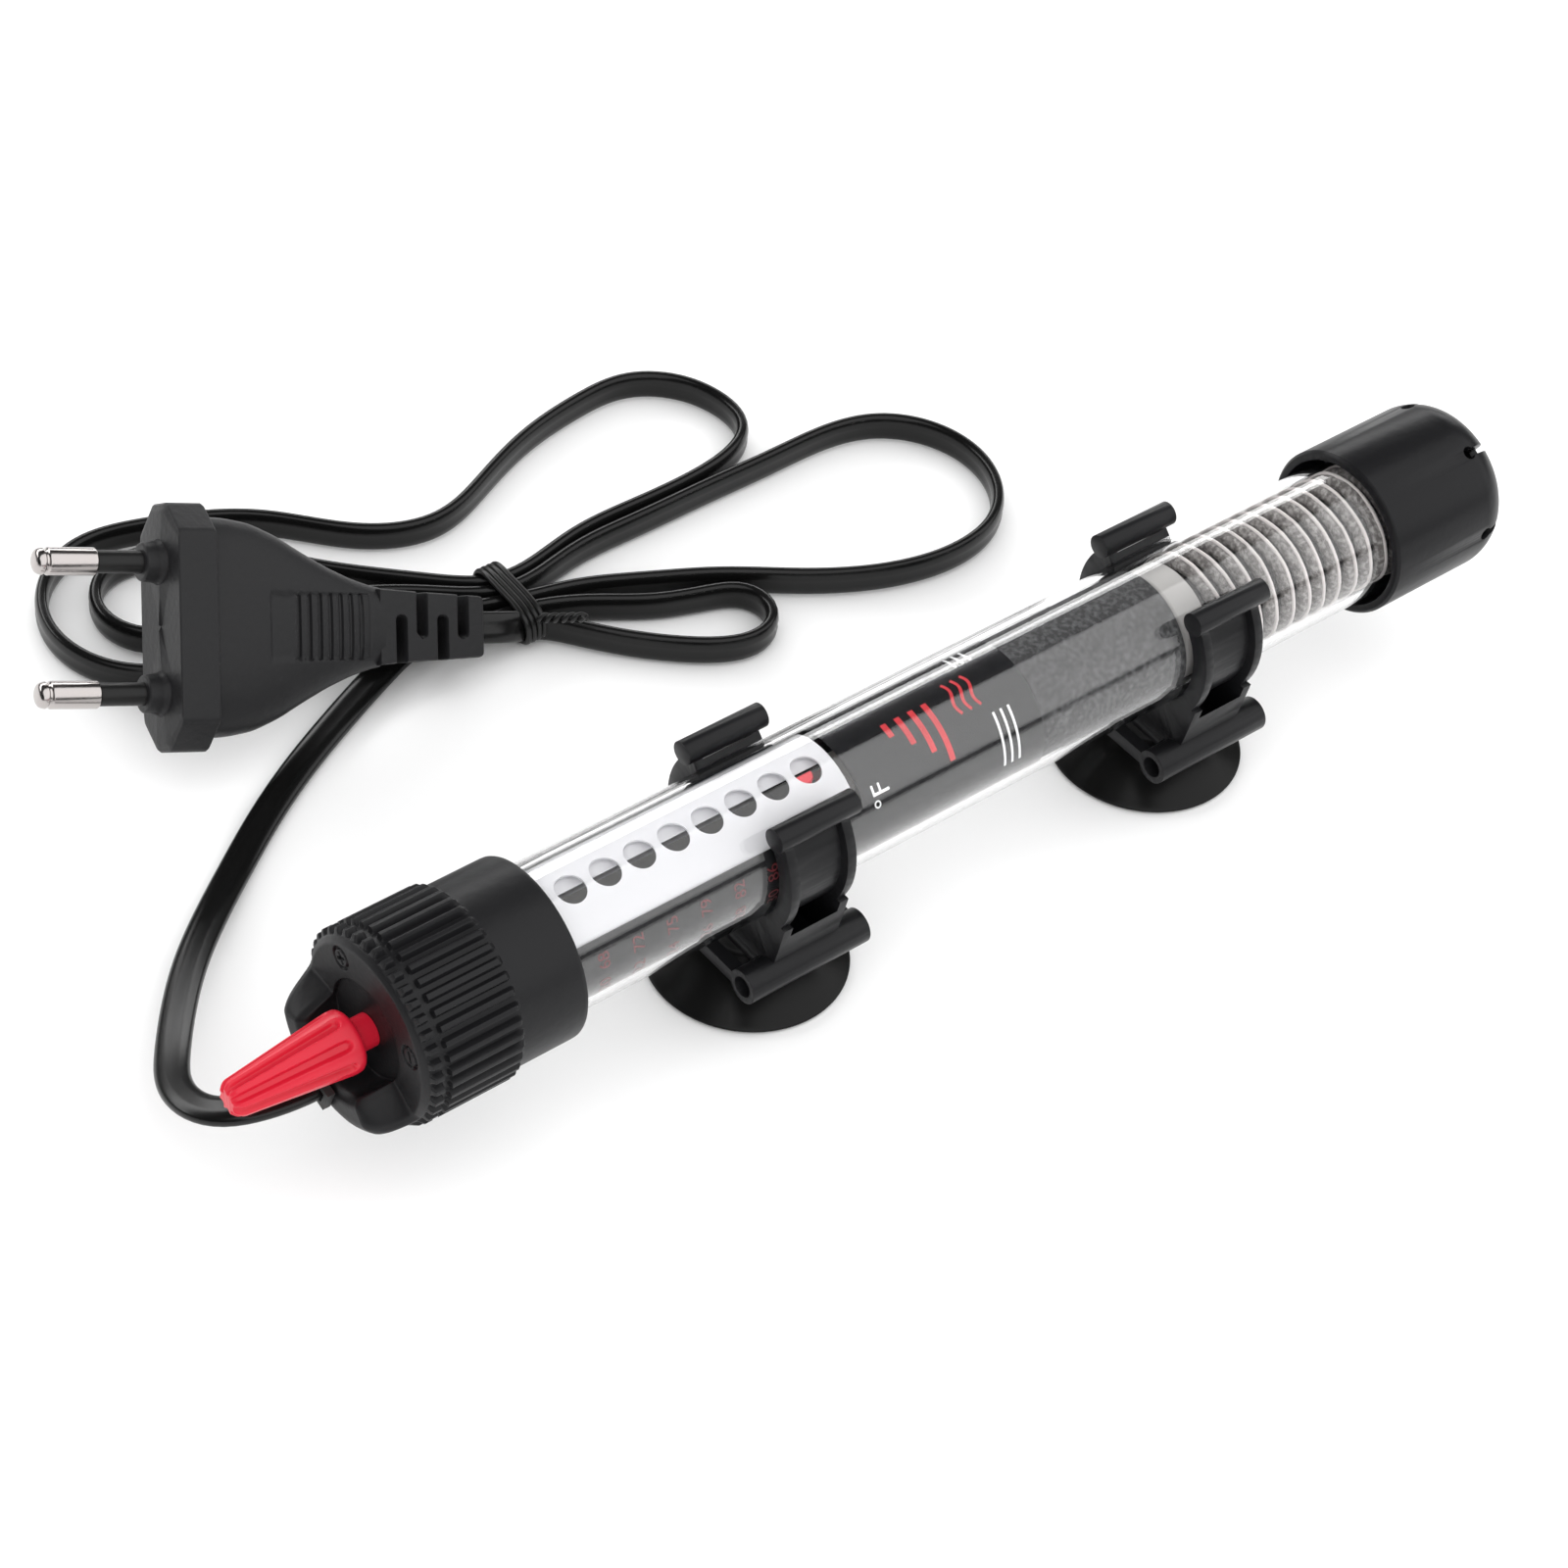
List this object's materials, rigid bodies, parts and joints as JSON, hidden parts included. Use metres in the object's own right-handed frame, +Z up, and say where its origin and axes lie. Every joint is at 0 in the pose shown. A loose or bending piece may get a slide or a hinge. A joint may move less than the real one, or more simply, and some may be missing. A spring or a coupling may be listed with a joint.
{
  "type": "submersible aquarium heater",
  "caption": "Glass-tube aquarium heater with a red setting knob, ribbed cap, vented end guard, suction clips and a flat mains cord tied in loops that ends in a round-pin plug.",
  "frame": {"origin": "centre of the front suction cup's face, on the plane that both cups sit on", "axes": "+X along the heater from the cap to the end guard, +Z up from the suction cups, +Y towards the side where the cord is laid"},
  "size_m": [0.2216, 0.1362, 0.0397],
  "materials": {
    "cap_black": "satin moulded black",
    "guard_black": "satin moulded black",
    "clip_black": "satin moulded black",
    "cup_rubber": "soft dull black",
    "knob_red": "glossy moulded red",
    "pointer_red": "satin moulded red",
    "clear_glass": "polished borosilicate",
    "print_film": "black printed film",
    "scale_white": "white moulded",
    "sleeve_grey": "dark grey heat shield",
    "seal_rubber": "dull nitrile",
    "bung_rubber": "dull silicone",
    "screw_plastic": "natural acetal",
    "board_brown": "laminated board",
    "spring_steel": "rolled strip",
    "contact_silver": "silver plated",
    "terminal_brass": "plain brass",
    "magnet_dark": "ground ferrite",
    "lamp_glass": "small neon lamp",
    "resistor_tan": "lacquered",
    "wire_insulation": "insulated conductor",
    "core_ceramic": "unglazed steatite",
    "coil_fibre": "woven glass-fibre sleeving",
    "mica": "split mica",
    "cord_black": "glossy flexible sheath",
    "plug_black": "satin moulded black",
    "sleeve_black": "moulded pin sleeve",
    "pin_nickel": "nickel-plated brass",
    "tie_black": "covered wire"
  },
  "bodies": {
    "heater": {"head_cap": "cap_black", "knob_seal_ring": "seal_rubber", "sealing_bung": "bung_rubber", "tube_seal_ring": "seal_rubber", "cord_grommet": "seal_rubber", "glass_tube": "clear_glass", "label_film": "print_film", "scale_sleeve": "scale_white", "insulating_sleeve": "sleeve_grey", "thermostat_board": "board_brown", "screw_bearing": "screw_plastic", "blade_bracket": "terminal_brass", "fixed_contact": "contact_silver", "snap_magnet": "magnet_dark", "neon_lamp": "lamp_glass", "series_resistor": "resistor_tan", "terminal_rivets": "terminal_brass", "lead_wires": "wire_insulation", "ceramic_core": "core_ceramic", "heating_coil": "coil_fibre", "coil_leads": "spring_steel", "end_spacer": "mica", "end_guard": "guard_black", "mains_cord": "cord_black", "cord_tie": "tie_black", "plug_body": "plug_black", "plug_pins": "pin_nickel", "pin_sleeves": "sleeve_black"},
    "adjuster": {"temperature_knob": "knob_red", "lead_screw": "screw_plastic"},
    "pointer": {"pointer_carriage": "pointer_red", "setting_ramp": "pointer_red"},
    "contact_arm": {"bimetal_strip": "spring_steel", "moving_contact": "contact_silver", "armature": "spring_steel"},
    "front_clip_body": {"front_clip": "clip_black"},
    "rear_clip_body": {"rear_clip": "clip_black"},
    "front_cup_body": {"front_suction_cup": "cup_rubber"},
    "rear_cup_body": {"rear_suction_cup": "cup_rubber"}
  },
  "joints": [
    {"name": "knob_turn", "type": "hinge", "parent": "heater", "child": "adjuster", "pos_m": [-0.0673, 0, 0.0256], "axis": [1, 0, 0], "range_deg": [0, 1186]},
    {"name": "pointer_slide", "type": "slide", "parent": "heater", "child": "pointer", "axis": [1, 0, 0], "range_m": [-0.0395, 0]},
    {"name": "contact_flex", "type": "hinge", "parent": "heater", "child": "contact_arm", "pos_m": [0.022, 0, 0.0252], "axis": [0, -1, 0], "range_deg": [0, 2], "stiffness_Nm_per_rad": 0.005},
    {"name": "front_clip_slide", "type": "slide", "parent": "heater", "child": "front_clip_body", "axis": [1, 0, 0], "range_m": [-0.02, 0.022]},
    {"name": "rear_clip_slide", "type": "slide", "parent": "heater", "child": "rear_clip_body", "axis": [1, 0, 0], "range_m": [-0.022, 0.018]},
    {"name": "front_cup_swivel", "type": "hinge", "parent": "front_clip_body", "child": "front_cup_body", "pos_m": [0, 0, 0], "axis": [0, 0, 1], "continuous": true},
    {"name": "rear_cup_swivel", "type": "hinge", "parent": "rear_clip_body", "child": "rear_cup_body", "pos_m": [0.076, 0, 0], "axis": [0, 0, 1], "continuous": true}
  ],
  "couplings": [
    {"joint": "knob_turn", "follows": "pointer_slide", "rad_per_m": -523.6}
  ]
}
